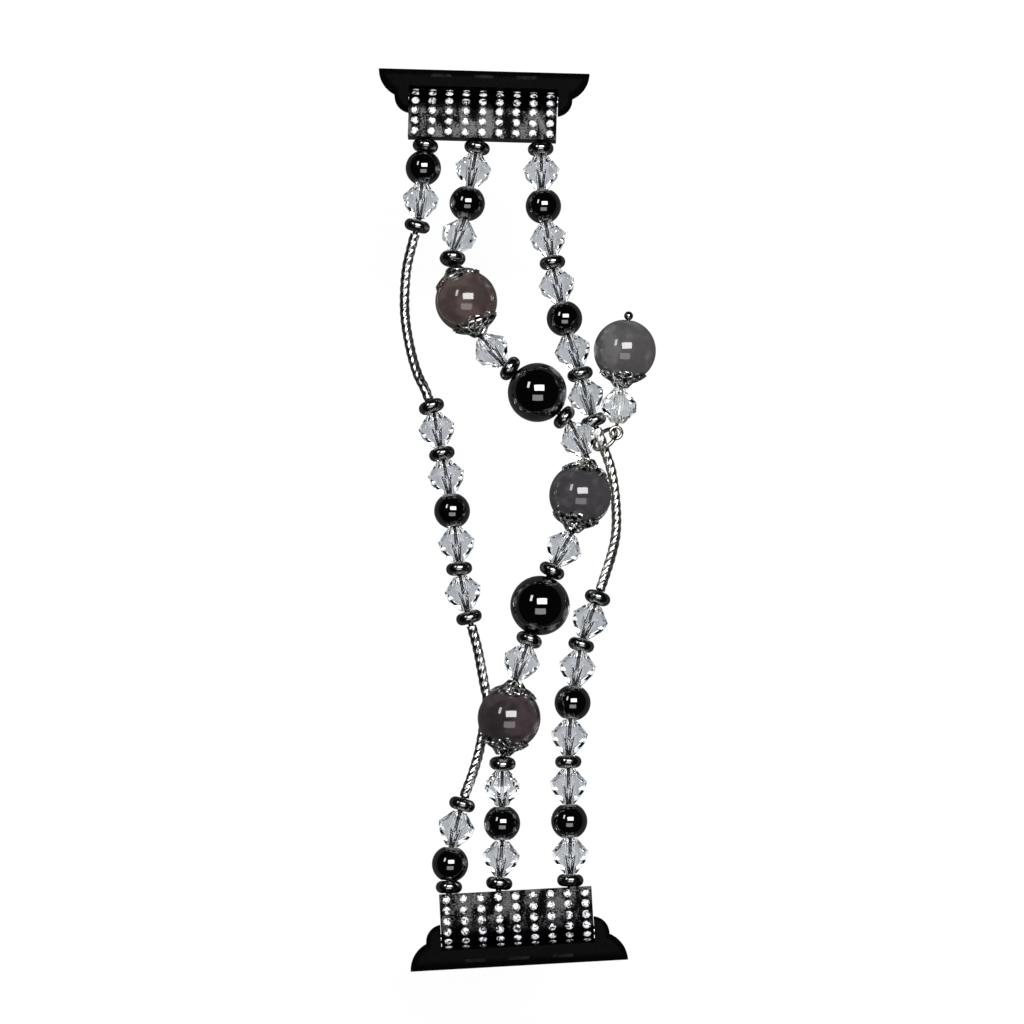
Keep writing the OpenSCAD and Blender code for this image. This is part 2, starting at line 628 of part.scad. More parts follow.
module connector() {
    rail_edge_r = (connector_t - rail_flat) / 2;
    end_x = rail_len / 2 - rail_end_r;
    corner_x = ears_w / 2 - ear_corner_r;
    corner_y = ear_reach - ear_corner_r;
    slot_y = slot_inset - rail_reach;
    color(black)
        difference() {
            union() {
                intersection() {
                    union() {
                        for (side = [-1, 1])
                            translate([side * end_x, -rail_reach, 0])
                                rotate_extrude() edge_section(rail_end_r, rail_edge_r);
                        translate([-end_x, -rail_reach, 0])
                            cube([2 * end_x, rail_reach, connector_t]);
                    }
                    rotate([0, 0, 180]) lengthwise(rail_len + over)
                        edge_section(rail_reach, rail_edge_r);
                }
                lengthwise(2 * corner_x) {
                    edge_section(ear_reach, ear_edge_r);
                    translate([-notch_r, 0]) square([notch_r, connector_t]);
                }
                for (side = [-1, 1]) {
                    translate([side * corner_x, corner_y, 0])
                        rotate_extrude() edge_section(ear_corner_r, ear_edge_r);
                    translate([side * corner_x, corner_y, 0])
                        rotate([90, 0, 0])
                            linear_extrude(height = corner_y + notch_r)
                                mirror([side < 0 ? 1 : 0, 0])
                                    edge_section(ear_corner_r, ear_edge_r);
                }
            }
            translate([-plate_w / 2 - side_gap, 0, -over])
                cube([plate_w + 2 * side_gap, ear_reach + over, connector_t + 2 * over]);
            translate([-plate_w / 2 - side_gap, -notch_r, pin_z])
                cube([plate_w + 2 * side_gap, notch_r, connector_t]);
            translate([0, 0, pin_z]) rotate([0, 90, 0]) {
                cylinder(r = notch_r, h = plate_w + 2 * side_gap, center = true);
                cylinder(d = pin_tip_d + 2 * running_gap,
                    h = plate_w + 2 * side_gap + 2 * tip_hole, center = true);
            }
            for (side = [-1, 1])
                translate([side * slot_side_x - slot_len / 2 - seat_gap,
                        slot_y - slot_w / 2 - seat_gap, connector_t - pad_depth])
                    cube([slot_len + 2 * seat_gap, slot_w + 2 * seat_gap, connector_t]);
            translate([-slot_len / 2 - running_gap, slot_y - slot_w / 2 - running_gap,
                    latch_room_z[0] + over])
                cube([slot_len + 2 * running_gap, slot_w + 2 * running_gap, connector_t]);
            translate([-latch_room[0] / 2, slot_y - latch_room[1] / 2, latch_room_z[0]])
                cube([latch_room[0], latch_room[1], latch_room_z[1] - latch_room_z[0]]);
        }
}

// Height of the rail's round top at the slots
slot_top_z = connector_t / 2 + sqrt(pow(connector_t / 2, 2)
    - pow(connector_t / 2 - slot_inset + slot_w / 2, 2));
module side_pads() {
    color(dull_black)
        for (side = [-1, 1])
            translate([side * slot_side_x - slot_len / 2,
                    slot_inset - rail_reach - slot_w / 2, connector_t - pad_depth])
                cube([slot_len, slot_w, slot_top_z - connector_t + pad_depth]);
}

module latch() {
    color(dull_black)
        translate([0, slot_inset - rail_reach, 0]) {
            translate([-slot_len / 2, -slot_w / 2, latch_foot_z])
                cube([slot_len, slot_w, slot_top_z - latch_foot_z]);
            translate([-latch_foot[0] / 2, -latch_foot[1] / 2, latch_foot_z])
                cube(latch_foot);
        }
}

// Bowed leaf under the latch: an arc through its two ends and its middle
module latch_spring() {
    bow = latch_foot_z - latch_room_z[0] - 2 * seat_gap;
    h = bow - spring_t;
    r = (pow(spring_len / 2, 2) + h * h) / (2 * h);
    color(gunmetal)
        translate([0, slot_inset - rail_reach + spring_w / 2, latch_room_z[0] + seat_gap])
            rotate([90, 0, 0])
                linear_extrude(height = spring_w)
                    intersection() {
                        translate([0, bow - r])
                            difference() {
                                circle(r = r);
                                circle(r = r - spring_t);
                            }
                        translate([-spring_len / 2, 0]) square([spring_len, bow]);
                    }
}

module hinge_pin() {
    color(bright)
        translate([0, 0, pin_z]) rotate([0, 90, 0]) {
            cylinder(d = pin_d, h = plate_w + 2 * (side_gap - seat_gap), center = true);
            cylinder(d = pin_tip_d, h = plate_w + 2 * (side_gap + tip_len), center = true);
        }
}

// Charm. The jump ring goes round the plain tube near its upper end
ring_share = 0.078;
ring_offset = 0.65;
ring_heading = 62;
ring_rise = 22;
ring_tilt = 40;
charm_heading = 6;
right_strand = strands[2];
ring_s = right_strand[2][right_tubes[0]] + ring_share * right_strand[3];
tube_place = at(right_strand[0], ring_s);
function compass(h, e) = [sin(h) * cos(e), cos(h) * cos(e), sin(e)];
ring_out = compass(ring_heading, ring_rise);
ring_side = unit(cross(ring_out, [0, 0, 1]));
ring_up = cross(ring_side, ring_out);
ring_across = cos(ring_tilt) * ring_up + sin(ring_tilt) * ring_side;
ring_axis = cross(ring_out, ring_across);
ring_place = tube_place + ring_offset * ring_out;
loop_place = ring_place + ring_r * ring_out;
loop_room = 0.4;
charm_crystal_z = loop_r + pin_wire / 2 + loop_room + crystal_len / 2;
charm_agate_z = charm_crystal_z + crystal_len / 2 + bead_gap + agate_unit_len / 2;
charm_ball_z = charm_agate_z + agate_len / 2 + ball_d / 2;
charm_rise = asin((agate_d / 2 + bead_gap - loop_place[2]) / charm_agate_z);
charm_axis = compass(charm_heading, charm_rise);

// Frame whose Z is a direction, turned about it so that its X comes nearest to another
module facing(dir, near) {
    b = acos(dir[2]);
    a = atan2(dir[1], dir[0]);
    x = near * [cos(a) * cos(b), sin(a) * cos(b), -sin(b)];
    y = near * [-sin(a), cos(a), 0];
    rotate([0, b, a]) rotate([0, 0, atan2(y, x)]) children();
}
module in_charm() {
    translate(loop_place) facing(charm_axis, ring_across) children();
}
module wire_ring(r, wire) {
    rotate_extrude() translate([r, 0]) circle(d = wire);
}

module charm_ring() {
    color(bright) translate(ring_place) facing(ring_axis, ring_out) wire_ring(ring_r, ring_wire);
}
module charm_pin() {
    color(bright)
        in_charm() {
            rotate([0, 90, 0]) wire_ring(loop_r, pin_wire);
            translate([0, 0, loop_r])
                cylinder(d = pin_wire, h = charm_ball_z - loop_r);
            translate([0, 0, charm_ball_z]) sphere(d = ball_d);
        }
}
module charm_crystal() {
    color(clear) in_charm() translate([0, 0, charm_crystal_z]) crystal();
}
module charm_cap() {
    color(gunmetal)
        in_charm() translate([0, 0, charm_agate_z]) mirror([0, 0, 1]) bead_cap();
}
module charm_agate() {
    color(light_agate)
        in_charm() translate([0, 0, charm_agate_z]) round_bead(agate_d, agate_len);
}

module spacers(zone) {
    color(gunmetal) strung("spacer", zone) spacer();
}
module crystals(zone) {
    color(clear) strung("crystal", zone) crystal();
}
module black_beads(zone) {
    color(black) strung("black", zone) round_bead(small_bead_d, small_bead_len);
}
module big_bead(zone) {
    color(black) strung("big", zone) round_bead(big_bead_d, big_bead_len);
}
module agate(zone, tint) {
    color(tint) strung("agate", zone) round_bead(agate_d, agate_len);
}
module bead_caps(zone) {
    color(gunmetal) strung("agate", zone) cap_pair();
}

at_top() connector();  // connector_top
at_bottom() connector();  // connector_bottom
at_top() latch();  // latch_top
at_bottom() latch();  // latch_bottom
at_top() latch_spring();  // latch_spring_top
at_bottom() latch_spring();  // latch_spring_bottom
at_top() side_pads();  // side_pads_top
at_bottom() side_pads();  // side_pads_bottom
at_top() hinge_pin();  // hinge_pin_top
at_bottom() hinge_pin();  // hinge_pin_bottom
at_top() end_plate(top_hole_shares);  // end_plate_top
at_bottom() end_plate(bottom_hole_shares);  // end_plate_bottom
at_top() stones();  // stones_top
at_bottom() stones();  // stones_bottom
elastic(0);  // elastic_left
elastic(1);  // elastic_middle
elastic(2);  // elastic_right
spacers(1);  // spacers_1
crystals(1);  // crystals_1
black_beads(1);  // black_beads_1
spacers(2);  // spacers_2
crystals(2);  // crystals_2
black_beads(2);  // black_beads_2
color(gunmetal) twisted_tube(0, left_tubes[0]);  // tube_upper
bead_caps(2);  // bead_caps_upper
agate(2, brown_agate);  // agate_upper
big_bead(2);  // big_bead_upper
spacers(3);  // spacers_3
crystals(3);  // crystals_3
black_beads(3);  // black_beads_3
color(bright) twisted_tube(2, right_tubes[0]);  // tube_right
bead_caps(3);  // bead_caps_middle
agate(3, grey_agate);  // agate_middle
spacers(4);  // spacers_4
crystals(4);  // crystals_4
black_beads(4);  // black_beads_4
color(gunmetal) twisted_tube(0, left_tubes[1]);  // tube_lower
bead_caps(4);  // bead_caps_lower
agate(4, dark_agate);  // agate_lower
big_bead(4);  // big_bead_lower
spacers(5);  // spacers_5
crystals(5);  // crystals_5
black_beads(5);  // black_beads_5
charm_ring();
charm_pin();
charm_crystal();
charm_cap();
charm_agate();
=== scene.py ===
import json
import math
import random

import bmesh
import bpy
from mathutils import Matrix, Vector

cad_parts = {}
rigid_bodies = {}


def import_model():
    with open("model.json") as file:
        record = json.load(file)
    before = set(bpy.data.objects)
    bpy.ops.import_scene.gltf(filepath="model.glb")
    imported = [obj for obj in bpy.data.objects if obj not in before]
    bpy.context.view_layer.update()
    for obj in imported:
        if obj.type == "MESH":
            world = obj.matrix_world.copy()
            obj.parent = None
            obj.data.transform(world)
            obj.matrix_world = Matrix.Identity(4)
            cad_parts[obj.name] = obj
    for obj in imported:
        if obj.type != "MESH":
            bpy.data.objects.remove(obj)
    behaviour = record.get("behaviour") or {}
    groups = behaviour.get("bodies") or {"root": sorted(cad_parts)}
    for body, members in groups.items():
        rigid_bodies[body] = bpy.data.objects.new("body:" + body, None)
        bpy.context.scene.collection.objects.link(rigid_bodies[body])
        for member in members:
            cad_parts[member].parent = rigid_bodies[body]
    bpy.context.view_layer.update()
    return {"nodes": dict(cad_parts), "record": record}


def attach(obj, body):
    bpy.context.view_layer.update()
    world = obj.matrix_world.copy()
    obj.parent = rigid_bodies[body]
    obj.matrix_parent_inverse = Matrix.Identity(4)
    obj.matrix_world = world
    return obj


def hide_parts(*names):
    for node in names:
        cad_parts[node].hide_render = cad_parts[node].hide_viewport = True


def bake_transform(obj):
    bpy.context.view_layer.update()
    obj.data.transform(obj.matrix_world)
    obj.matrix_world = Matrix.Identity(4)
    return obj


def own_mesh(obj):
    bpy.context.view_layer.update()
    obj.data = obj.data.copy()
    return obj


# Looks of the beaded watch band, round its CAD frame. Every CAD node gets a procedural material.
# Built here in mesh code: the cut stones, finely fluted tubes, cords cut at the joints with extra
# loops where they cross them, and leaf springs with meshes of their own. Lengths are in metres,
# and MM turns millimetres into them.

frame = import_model()
nodes = frame["nodes"]
joints = frame["record"]["behaviour"]["joints"]
bodies = frame["record"]["behaviour"]["bodies"]
slots = {part["node"]: part["material_slot"] for part in frame["record"]["subparts"]}
body_of = {node: body for body, group in bodies.items() for node in group}
random.seed(7)
MM = 0.001


# Node materials
NOISE_LOW, NOISE_HIGH = 0.3, 0.7  # nearly all of a noise texture's values lie between these


def grey(tone):
    return (tone, tone, tone)


class Nodes:
    """A node tree, with short ways to add nodes and to wire or set their sockets."""

    def __init__(self, tree):
        self.tree = tree

    def node(self, kind, **values):
        n = self.tree.nodes.new(kind)
        for key, value in values.items():
            setattr(n, key, value)
        return n

    def put(self, socket, value):
        """Wires an output into a socket, or sets the socket to a plain value."""
        if isinstance(value, bpy.types.NodeSocket):
            self.tree.links.new(value, socket)
        else:
            socket.default_value = value

    def add(self, kind, *values, **settings):
        """The first output of a new node whose sockets take the values in order."""
        n = self.node(kind, **settings)
        for socket, value in zip(n.inputs, values):
            self.put(socket, value)
        return n.outputs[0]

    def calc(self, operation, *values):
        return self.add("ShaderNodeMath", *values, operation=operation)

    def noise_at(self, place, scale, detail, rough=0.5, distortion=0.0):
        n = self.node("ShaderNodeTexNoise")
        if place is not None:
            self.put(n.inputs["Vector"], place)
        for key, value in (("Scale", scale), ("Detail", detail), ("Roughness", rough),
                           ("Distortion", distortion)):
            self.put(n.inputs[key], value)
        return n.outputs["Fac"]

    def ramp(self, factor, *stops):
        n = self.node("ShaderNodeValToRGB")
        elements = n.color_ramp.elements
        while len(elements) < len(stops):
            elements.new(0.5)
        for element, (position, colour) in zip(elements, stops):
            element.position = position
            element.color = (*colour, 1)
        self.put(n.inputs["Fac"], factor)
        return n.outputs["Color"]


class Mat(Nodes):
    """A Principled material whose textures are laid out in the object's own millimetres."""

    def __init__(self, name):
        self.material = bpy.data.materials.new(name)
        self.material.use_nodes = True
        super().__init__(self.material.node_tree)
        place = self.node("ShaderNodeVectorMath", operation="SCALE")
        self.put(place.inputs["Scale"], 1 / MM)
        self.put(place.inputs[0], self.node("ShaderNodeTexCoord").outputs["Object"])
        self.mm = place.outputs[0]

    def look(self, **values):
        """Sets or wires the Principled shader's sockets; underscores stand for spaces."""
        shader = self.tree.nodes["Principled BSDF"]
        for key, value in values.items():
            self.put(shader.inputs[key.replace("_", " ")], value)
        return self.material

    def noise(self, scale, detail=3, rough=0.5, distortion=0.0, stretch=None, shift=None):
        place = self.mm
        if stretch:
            place = self.add("ShaderNodeVectorMath", place, stretch, operation="MULTIPLY")
        if shift:
            place = self.add("ShaderNodeVectorMath", place, shift, operation="ADD")
        return self.noise_at(place, scale, detail, rough, distortion)

    def tones(self, factor, dark, light, low=NOISE_LOW, high=NOISE_HIGH):
        return self.ramp(factor, (low, dark), (high, light))

    def span(self, factor, low, high):
        """A noise as a value between low and high."""
        return self.add("ShaderNodeMapRange", factor, NOISE_LOW, NOISE_HIGH, low, high)

    def bump(self, height, strength, depth=0.05):
        """Relief of a depth in millimetres."""
        n = self.node("ShaderNodeBump")
        for key, value in (("Strength", strength), ("Distance", depth * MM), ("Height", height)):
            self.put(n.inputs[key], value)
        return n.outputs["Normal"]


def metal(name, dark, light, rough, patch=0.6, grain=6.0, relief=0.15):
    """Metal with soft patches of two tones and a fine grain in its polish."""
    a = Mat(name)
    return a.look(Metallic=1.0,
                  Base_Color=a.tones(a.noise(patch, 4, 0.6), dark, light, 0.35, 0.65),
                  Roughness=a.span(a.noise(grain, 3), rough * 0.7, rough * 1.4),
                  Normal=a.bump(a.noise(grain, 2), relief))


def cast_plate(name):
    """Dark cast metal with painted reflections: grey patches along the columns of stones, broken
    up by fine sparkle, in the metal's colour.
    """
    a = Mat(name)
    reflection_patches = a.noise(0.5, 3, 0.6, stretch=(1.0, 0.45, 0.45))
    painted_reflections = a.calc("MULTIPLY_ADD", a.noise(3.4, 2, 0.6), 0.6, reflection_patches)
    # the lighter tone of the metal's colour is painted reflection: grey patches and fine sparkle
    return a.look(Metallic=1.0, Base_Color=a.tones(painted_reflections, grey(0.0008), grey(0.03), 0.77, 0.88),
                  Roughness=a.span(a.noise(5, 3), 0.2, 0.39), Normal=a.bump(a.noise(5, 2), 0.4))


def filigree(name):
    """Cast scrollwork: bright raised ribs round pits painted near black as painted shade."""
    a = Mat(name)
    cell = a.node("ShaderNodeTexVoronoi", feature="DISTANCE_TO_EDGE")
    a.put(cell.inputs["Scale"], 1.05)
    a.put(cell.inputs["Vector"], a.mm)
    edge = cell.outputs["Distance"]
    rib = a.tones(edge, grey(1), grey(0), 0.02, 0.3)
    # near black between the ribs: painted shade in the hollows of the openwork
    return a.look(Metallic=1.0, Base_Color=a.tones(edge, (0.9, 0.9, 0.87), grey(0.02), 0.13, 0.24),
                  Roughness=a.span(a.noise(5.0, 2), 0.1, 0.2), Normal=a.bump(rib, 1.0, 0.25))


def clear_glass(name, tint):
    """Clear crystal with the faintest clouds in its tint."""
    a = Mat(name)
    pale = tuple(min(1, c * 1.03) for c in tint)
    return a.look(Transmission_Weight=1.0, IOR=1.52,
                  Base_Color=a.tones(a.noise(0.5, 2), tint, pale),
                  Roughness=a.span(a.noise(3.0, 2), 0.0, 0.012))


def rhinestone(name):
    """Foiled stone: painted bright and dark flashes side by side under a hard gloss; they are
    painted highlights and painted shade of its facets.
    """
    a = Mat(name)
    painted_flashes = a.noise(1.6, 2, 0.6, 1.0)
    # the stone's colour holds the flashes: painted highlights and painted shade of the facets
    return a.look(Metallic=0.0, IOR=1.7, Coat_Weight=1.0,
                  Base_Color=a.tones(painted_flashes, (0.03, 0.03, 0.035), (0.85, 0.86, 0.88), 0.44, 0.5),
                  Roughness=a.span(a.noise(2.0, 2), 0.02, 0.08))


def black_plastic(name):
    """Matt black plastic that hardly mirrors, as the photo's connectors."""
    a = Mat(name)
    return a.look(IOR=1.07,
                  Base_Color=a.tones(a.noise(2.5, 3), (0.0006, 0.0006, 0.0007),
                                     (0.002, 0.002, 0.0022)),
                  Roughness=a.span(a.noise(9.0, 2), 0.4, 0.5), Normal=a.bump(a.noise(12, 2), 0.1))


def black_gloss(name, base):
    """Polished black glass."""
    a = Mat(name)
    return a.look(IOR=1.75, Coat_Weight=1.0, Coat_Roughness=0.02,
                  Base_Color=a.tones(a.noise(1.2, 3), base, tuple(c * 1.8 for c in base)),
                  Roughness=a.span(a.noise(4.0, 2), 0.015, 0.0225))


def agate(name, deep, mid, pale, seed):
    """Banded chalcedony: warped bands of slightly different tone under a polished surface."""
    a = Mat(name)
    warp = a.noise(0.16, 3, shift=(seed * 3.1, seed * 1.7, seed * 2.3))
    bands = a.calc("MULTIPLY_ADD", a.calc("SINE", a.calc("MULTIPLY", warp, 22)), 0.5, 0.5)
    return a.look(IOR=1.55, Roughness=0.05, Subsurface_Weight=0.35, Subsurface_Scale=4 * MM,
                  Coat_Weight=0.45, Coat_Roughness=0.02,
                  Base_Color=a.ramp(bands, (0.0, deep), (0.55, mid), (1.0, pale)),
                  Normal=a.bump(a.noise(0.7, 2), 0.03))


def rubber(name):
    """The dull black rubber of the cords."""
    a = Mat(name)
    return a.look(IOR=1.1,
                  Base_Color=a.tones(a.noise(3, 3), (0.001, 0.001, 0.0013), (0.005, 0.005, 0.006)),
                  Roughness=a.span(a.noise(8, 2), 0.4, 0.55), Normal=a.bump(a.noise(14, 2), 0.3))


LOOKS = {
    "connector_black": (black_plastic, {}),
    "latch_metal": (metal, dict(dark=grey(0.002), light=grey(0.005), rough=0.35)),
    "steel": (metal, dict(dark=grey(0.35), light=(0.55, 0.55, 0.54), rough=0.2)),
    "plate_metal": (cast_plate, {}),
    "rhinestone": (rhinestone, {}),
    "elastic_cord": (rubber, {}),
    "hematite": (metal, dict(dark=grey(0.14), light=(0.34, 0.34, 0.335), rough=0.15,
                             patch=1.0, grain=5, relief=0.12)),
    "clear_crystal": (clear_glass, dict(tint=(0.965, 0.972, 0.985))),
    "black_glass": (black_gloss, dict(base=(0.0005, 0.0005, 0.0006))),
    "tube_dark": (metal, dict(dark=grey(0.3), light=(0.65, 0.65, 0.64), rough=0.17,
                              patch=0.8, grain=6, relief=0.2)),
    "tube_bright": (metal, dict(dark=(0.55, 0.55, 0.51), light=(0.85, 0.85, 0.8), rough=0.22,
                                patch=0.8, grain=6, relief=0.2)),
    "cap_metal": (filigree, {}),
    "charm_wire": (metal, dict(dark=(0.3, 0.3, 0.26), light=(0.55, 0.55, 0.49), rough=0.12)),
    "brown_agate": (agate, dict(deep=(0.05, 0.036, 0.035), mid=(0.062, 0.045, 0.042),
                                pale=(0.084, 0.06, 0.054), seed=1)),
    "grey_agate": (agate, dict(deep=(0.042, 0.039, 0.042), mid=(0.051, 0.047, 0.051),
                               pale=(0.068, 0.065, 0.072), seed=2)),
    "dark_agate": (agate, dict(deep=(0.022, 0.018, 0.02), mid=(0.03, 0.025, 0.028),
                               pale=(0.05, 0.036, 0.039), seed=3)),
    "smoke_agate": (agate, dict(deep=(0.07, 0.067, 0.068), mid=(0.086, 0.083, 0.084),
                                pale=(0.12, 0.117, 0.118), seed=4)),
}
MATERIALS = {slot: build(slot, **values) for slot, (build, values) in LOOKS.items()}

for name, obj in nodes.items():
    obj.data.materials.clear()
    obj.data.materials.append(MATERIALS[slots[name]])
    if slots[name] == "clear_crystal":
        obj.visible_shadow = False


# Mesh helpers
WELD = 0.001 * MM       # vertices closer than this are one
WELD_DIGITS = 7         # vertices that agree to so many digits of a metre are one
ON_PLANE = 0.0001 * MM  # how near a cutting plane a vertex counts as on it


def add_object(name, data):
    obj = bpy.data.objects.new(name, data)
    bpy.context.scene.collection.objects.link(obj)
    return obj


def to_mesh(name, bm):
    mesh = bpy.data.meshes.new(name)
    bm.to_mesh(mesh)
    bm.free()
    return mesh


def add_piece(name, bm, slot, smooth=False):
    mesh = to_mesh(name, bm)
    for face in mesh.polygons:
        face.use_smooth = smooth
    obj = add_object(name, mesh)
    mesh.materials.append(MATERIALS[slot])
    return obj


def welded_copy(obj):
    bm = bmesh.new()
    bm.from_mesh(obj.data)
    bmesh.ops.remove_doubles(bm, verts=bm.verts, dist=WELD)
    return bm


def mean(points):
    return sum(points, Vector()) / len(points)


def islands(obj):
    """Connected groups of a CAD node's vertices, as lists of coordinates."""
    mesh = obj.data
    key = {}
    ids = [key.setdefault(tuple(round(c, WELD_DIGITS) for c in v.co), len(key))
           for v in mesh.vertices]
    parent = list(range(len(key)))

    def find(i):
        while parent[i] != i:
            parent[i] = parent[parent[i]]
            i = parent[i]
        return i

    for face in mesh.polygons:
        first = find(ids[face.vertices[0]])
        for v in face.vertices[1:]:
            parent[find(ids[v])] = first
    groups = {}
    for co, i in key.items():
        groups.setdefault(find(i), []).append(Vector(co))
    return list(groups.values())


def all_points(obj):
    return [p for group in islands(obj) for p in group]


def along(line, p):
    """How far along a line of points the nearest place to p lies, and its distance from p."""
    beyond = 9.0  # the end pieces reach on, to this many of their lengths from their start
    best, run = None, 0.0
    for i in range(len(line) - 1):
        d = line[i + 1] - line[i]
        t = (p - line[i]).dot(d) / d.length_squared
        t = max(0.0 if i else -beyond, min(1.0 if i < len(line) - 2 else beyond, t))
        gap = (line[i] + d * t - p).length
        if best is None or gap < best[1]:
            best = (run + t * d.length, gap)
        run += d.length
    return best


# Rhinestones: cut stones in the CAD seats
CUT_SIDES = 8
AXIS_STEPS = 60  # enough for the axis to settle
# girdle's foot, girdle, star and table: share of the radius, share of the height, part of a step
CUT = ((0.98, 0.0, 0.0), (1.0, 0.42, 0.0), (0.8, 0.78, 0.5), (0.52, 1.0, 0.0))


def stone_seat(points):
    """Foot, axis, radius and height of a CAD stone; its axis is where its points spread least."""
    centre = mean(points)
    arms = [p - centre for p in points]
    spread = Matrix(((0, 0, 0), (0, 0, 0), (0, 0, 0)))
    for p in arms:
        for i in range(3):
            for j in range(3):
                spread[i][j] += p[i] * p[j]
    trace = spread[0][0] + spread[1][1] + spread[2][2]
    inertia = Matrix([[(trace if i == j else 0) - spread[i][j] for j in range(3)]
                      for i in range(3)])
    axis = Vector((0.1, 0.2, 1.0))
    for _ in range(AXIS_STEPS):
        axis = (inertia @ axis).normalized()
    if axis.z < 0:
        axis.negate()
    heights = [p.dot(axis) for p in arms]
    radius = max((p - axis * p.dot(axis)).length for p in arms)
    return centre + axis * min(heights), axis, radius, max(heights) - min(heights)


def cut_stone(bm, foot, up, radius, height, angle):
    """Round cut: an eight-sided girdle and table, with triangular facets between them."""
    side = Matrix.Rotation(angle, 3, up) @ up.orthogonal().normalized()
    other = up.cross(side)
    rings = []
    for wide, high, turn in CUT:
        ring = []
        for k in range(CUT_SIDES):
            a = turn * math.tau / CUT_SIDES + k * math.tau / CUT_SIDES
            ring.append(bm.verts.new(foot + up * (height * high) + radius * wide
                                     * (math.cos(a) * side + math.sin(a) * other)))
        rings.append(ring)
    low, girdle, star, table = rings
    bm.faces.new(list(reversed(low)))
    bm.faces.new(table)
    for k in range(CUT_SIDES):
        j = (k + 1) % CUT_SIDES
        bm.faces.new((low[k], low[j], girdle[j], girdle[k]))
        bm.faces.new((girdle[k], girdle[j], star[k]))
        bm.faces.new((girdle[j], star[j], star[k]))
        bm.faces.new((table[k], star[k], table[j]))
        bm.faces.new((table[j], star[k], star[j]))


for end in ("top", "bottom"):
    bm = bmesh.new()
    for points in islands(nodes["stones_" + end]):
        cut_stone(bm, *stone_seat(points), random.uniform(0, math.tau))
    stones = add_piece("cut_stones_" + end, bm, "rhinestone")
    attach(stones, "plate_" + end)
    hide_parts("stones_" + end)


# Twisted tubes: fine, smooth flutes round the CAD tubes' own centre lines
TUBE_R, TUBE_BORE_R, FLUTE_DEPTH, TWIST_LEAD = 0.83 * MM, 0.58 * MM, 0.1 * MM, 6.8 * MM
FLUTES, FLUTE_POINTS, RING_STEP = 5, 8, 0.15 * MM
FLUTE_POWER = 0.7       # below 1, the ridges are narrower than the valleys
OUTSIDE_R = 0.66 * MM   # between the bore and the valleys of a CAD tube
RING_GAP = 1.4 * MM     # points nearer than this along the tube are one ring, bore and all
OUTER_GAP = 0.35 * MM   # the same for the rings of the outside alone
FEWEST_POINTS = 6       # a ring with fewer points than this is left out
ROUGH_BINS = 10         # pieces of the first, rough centre line
CURVE_POINTS = 6        # points of the smooth curve between two rings


def centre_line(obj):
    """Centres of the rings of a CAD tube, from its lower end to its upper end."""
    points = all_points(obj)
    lo, hi = min(p.y for p in points), max(p.y for p in points)
    line = [mean([p for p in points if k <= (p.y - lo) / (hi - lo) * ROUGH_BINS <= k + 1])
            for k in range(ROUGH_BINS)]
    for outer_only, gap in ((False, RING_GAP), (True, OUTER_GAP), (True, OUTER_GAP)):
        places = [(*along(line, p), p) for p in points]
        if outer_only:
            places = [place for place in places if place[1] > OUTSIDE_R]
        places.sort(key=lambda place: place[0])
        rings, now = [], [places[0]]
        for place in places[1:]:
            if place[0] - now[0][0] > gap:
                rings.append(now)
                now = []
            now.append(place)
        rings.append(now)
        line = [mean([place[2] for place in ring]) for ring in rings
                if len(ring) >= FEWEST_POINTS]
    return line


def smooth_curve(line, step):
    """A Catmull-Rom curve through the points, cut into even steps of about the given length."""
    ends = [line[0] * 2 - line[1]] + line + [line[-1] * 2 - line[-2]]
    fine = []
    for i in range(1, len(ends) - 2):
        a, b, c, d = ends[i - 1:i + 3]
        for k in range(CURVE_POINTS):
            t = k / CURVE_POINTS
            fine.append(0.5 * (2 * b + (c - a) * t + (2 * a - 5 * b + 4 * c - d) * t * t
                        + (3 * b - a - 3 * c + d) * t * t * t))
    fine.append(line[-1].copy())
    runs = [0.0]
    for a, b in zip(fine, fine[1:]):
        runs.append(runs[-1] + (b - a).length)
    steps = max(2, round(runs[-1] / step))
    out, j = [], 0
    for k in range(steps + 1):
        s = runs[-1] * k / steps
        while j < len(runs) - 2 and runs[j + 1] < s:
            j += 1
        out.append(fine[j].lerp(fine[j + 1], (s - runs[j]) / (runs[j + 1] - runs[j])))
    return out, runs[-1]


def fluted_radius(angle):
    return TUBE_R - FLUTE_DEPTH * (0.5 - 0.5 * math.cos(FLUTES * angle)) ** FLUTE_POWER


def fluted_tube(node):
    line, length = smooth_curve(centre_line(nodes[node]), RING_STEP)
    bm = bmesh.new()
    sides = FLUTES * FLUTE_POINTS
    steps = [(k, (k + 1) % sides) for k in range(sides)]
    outer, inner = [], []
    for i, centre in enumerate(line):
        tangent = (line[min(i + 1, len(line) - 1)] - line[max(i - 1, 0)]).normalized()
        across = tangent.cross(Vector((0, 0, 1))).normalized()
        up = across.cross(tangent)
        turn = -math.tau * length * i / (len(line) - 1) / TWIST_LEAD
        for rings, radius in ((outer, fluted_radius), (inner, lambda angle: TUBE_BORE_R)):
            ring = []
            for k in range(sides):
                a = math.tau * k / sides
                r, b = radius(a), a + turn
                ring.append(bm.verts.new(centre + across * r * math.cos(b) + up * r * math.sin(b)))
            rings.append(ring)
    for a, b in zip(outer, outer[1:]):
        for k, j in steps:
            bm.faces.new((a[k], b[k], b[j], a[j]))
    for a, b in zip(inner, inner[1:]):
        for k, j in steps:
            bm.faces.new((a[k], a[j], b[j], b[k]))
    for k, j in steps:
        bm.faces.new((outer[0][k], outer[0][j], inner[0][j], inner[0][k]))
        bm.faces.new((outer[-1][j], outer[-1][k], inner[-1][k], inner[-1][j]))
    bmesh.ops.recalc_face_normals(bm, faces=bm.faces)
    tube = add_piece("fluted_" + node, bm, slots[node], smooth=True)
    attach(tube, body_of[node])
    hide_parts(node)


for node in ("tube_upper", "tube_right", "tube_lower"):
    fluted_tube(node)
